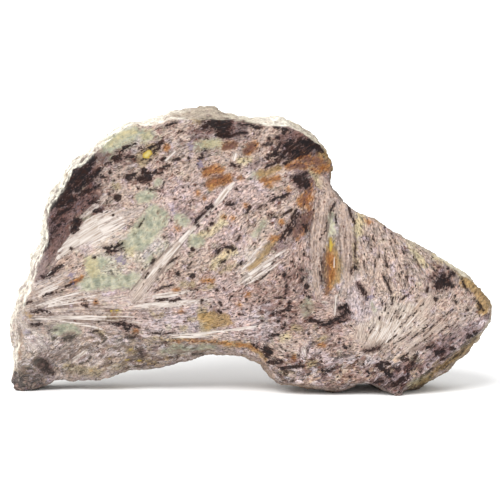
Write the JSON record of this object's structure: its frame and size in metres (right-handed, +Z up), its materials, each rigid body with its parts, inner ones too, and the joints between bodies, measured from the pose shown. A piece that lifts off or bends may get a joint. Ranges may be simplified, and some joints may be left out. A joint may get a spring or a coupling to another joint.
{
  "type": "charoite specimen",
  "caption": "Upright chunk of charoite rock with a sawn, satin front face of fibrous lilac, cream, green and brown minerals and a broken natural crust behind it.",
  "frame": {"origin": "middle of the bounding box in plan, on the ground plane that the two feet stand on", "axes": "+Z up, +X to the right along the sawn face as it is looked at, sawn face towards -Y"},
  "size_m": [0.1536, 0.029, 0.0905],
  "materials": {
    "charoite_stone": "satin sawn face, matt broken crust"
  },
  "bodies": {
    "root": {"charoite_slab": "charoite_stone"}
  },
  "joints": []
}
